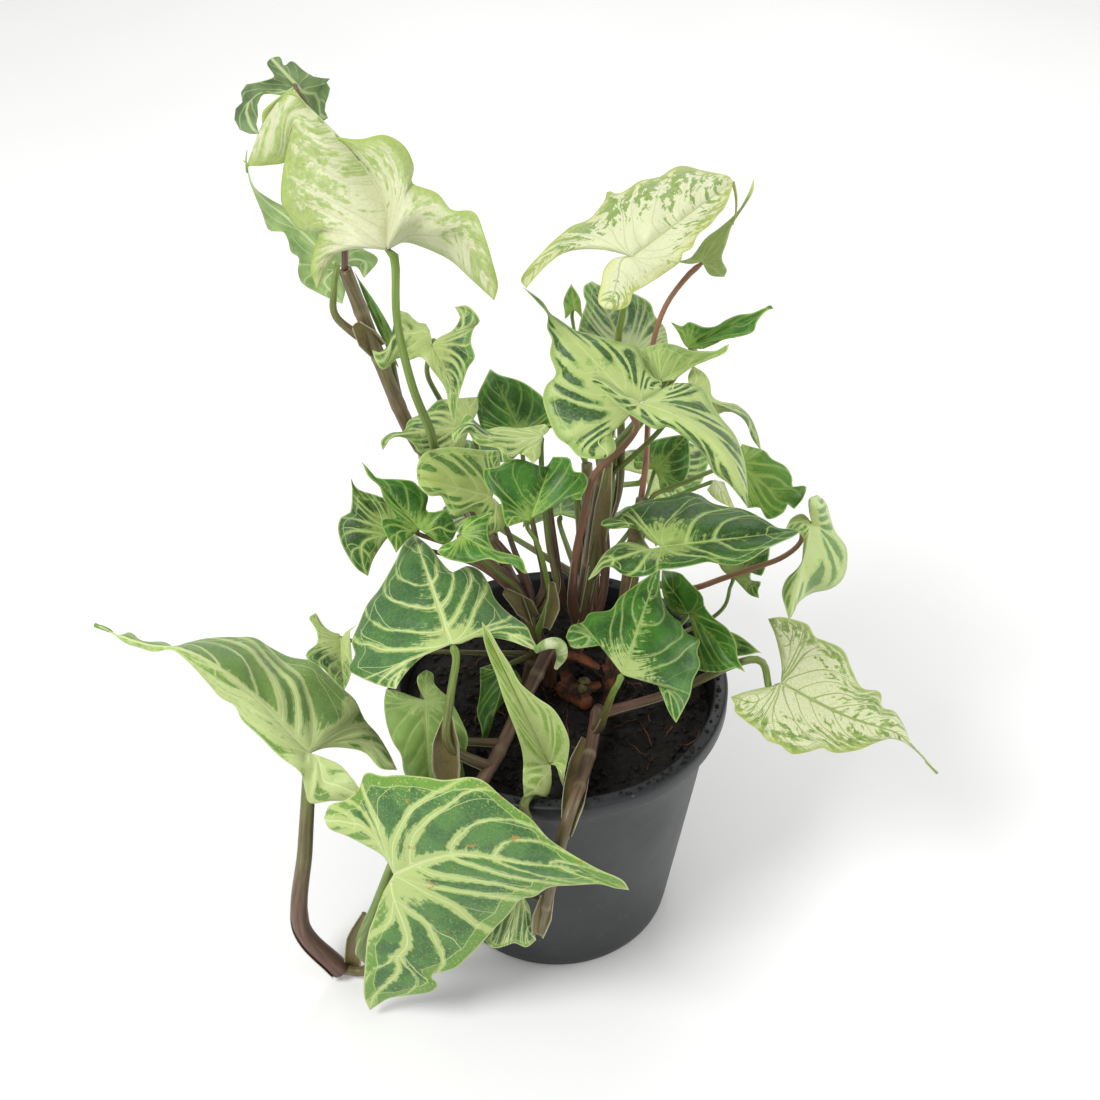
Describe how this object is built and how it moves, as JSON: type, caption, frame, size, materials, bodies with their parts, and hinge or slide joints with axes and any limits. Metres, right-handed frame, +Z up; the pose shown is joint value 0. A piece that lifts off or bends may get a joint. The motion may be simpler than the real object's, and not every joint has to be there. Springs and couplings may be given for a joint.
{
  "type": "potted arrowhead plant",
  "caption": "Leafy climbing house plant with variegated arrow-shaped leaves on arching stalks, rooted in soil in a round plastic nursery pot.",
  "frame": {"origin": "centre of the pot's underside, on the surface that it stands on", "axes": "+Z up; +Y away from the picture's camera, so the trailing leaves lie towards -Y and -X"},
  "size_m": [0.3248, 0.2269, 0.3652],
  "materials": {
    "pot_plastic": "moulded charcoal plastic with a soft sheen",
    "soil": "damp crumbly potting mix with bark fibres",
    "stem": "smooth green to purple-brown stems with pale-edged sheaths",
    "leaf_green": "satin deep green leaf with fine paler veins",
    "leaf_veined": "satin green leaf with broad pale feathered veins",
    "leaf_mottled": "satin yellow-green leaf with dark green speckles",
    "leaf_cream": "satin cream leaf with a green net of veins and speckles",
    "leaf_pale": "dull pale green leaf, as on undersides and young leaves"
  },
  "bodies": {
    "root": {"leaf_back_left": "leaf_green", "leaf_back_low_left": "leaf_veined", "leaf_back_low_middle": "leaf_green", "leaf_back_low_right": "leaf_green", "leaf_back_middle": "leaf_veined", "leaf_back_right": "leaf_mottled", "leaf_front_dark": "leaf_green", "leaf_front_dull": "leaf_pale", "leaf_front_low": "leaf_veined", "leaf_front_narrow": "leaf_pale", "leaf_front_right": "leaf_veined", "leaf_left_big": "leaf_veined", "leaf_left_dark": "leaf_green", "leaf_left_folded": "leaf_veined", "leaf_left_hooked": "leaf_mottled", "leaf_left_low_small": "leaf_mottled", "leaf_left_outer": "leaf_veined", "leaf_left_pale": "leaf_pale", "leaf_left_plain": "leaf_green", "leaf_left_pointing": "leaf_green", "leaf_left_small": "leaf_green", "leaf_left_upper": "leaf_mottled", "leaf_middle_cup": "leaf_pale", "leaf_middle_drooping": "leaf_mottled", "leaf_middle_variegated": "leaf_mottled", "leaf_right_cream": "leaf_cream", "leaf_right_curled": "leaf_mottled", "leaf_right_hooked": "leaf_green", "leaf_right_inner_dark": "leaf_green", "leaf_right_inner_pale": "leaf_cream", "leaf_right_large": "leaf_veined", "leaf_right_outer": "leaf_mottled", "leaf_right_shaded": "leaf_green", "leaf_right_small": "leaf_green", "leaf_right_upper": "leaf_green", "leaf_top_behind": "leaf_veined", "leaf_top_cream": "leaf_cream", "leaf_top_narrow": "leaf_pale", "leaf_top_right_green": "leaf_green", "leaf_top_small": "leaf_green", "leaf_trailing_front": "leaf_veined", "leaf_trailing_left": "leaf_pale", "leaf_vine_behind": "leaf_pale", "leaf_vine_large": "leaf_cream", "leaf_vine_spear": "leaf_green", "leaf_vine_top": "leaf_mottled", "pot": "pot_plastic", "shoot_back": "stem", "shoot_centre": "stem", "shoot_front": "stem", "shoot_left": "stem", "shoot_right": "stem", "shoot_trailing": "stem", "shoot_vine": "stem", "soil": "soil", "stem_stub": "stem"}
  },
  "joints": []
}
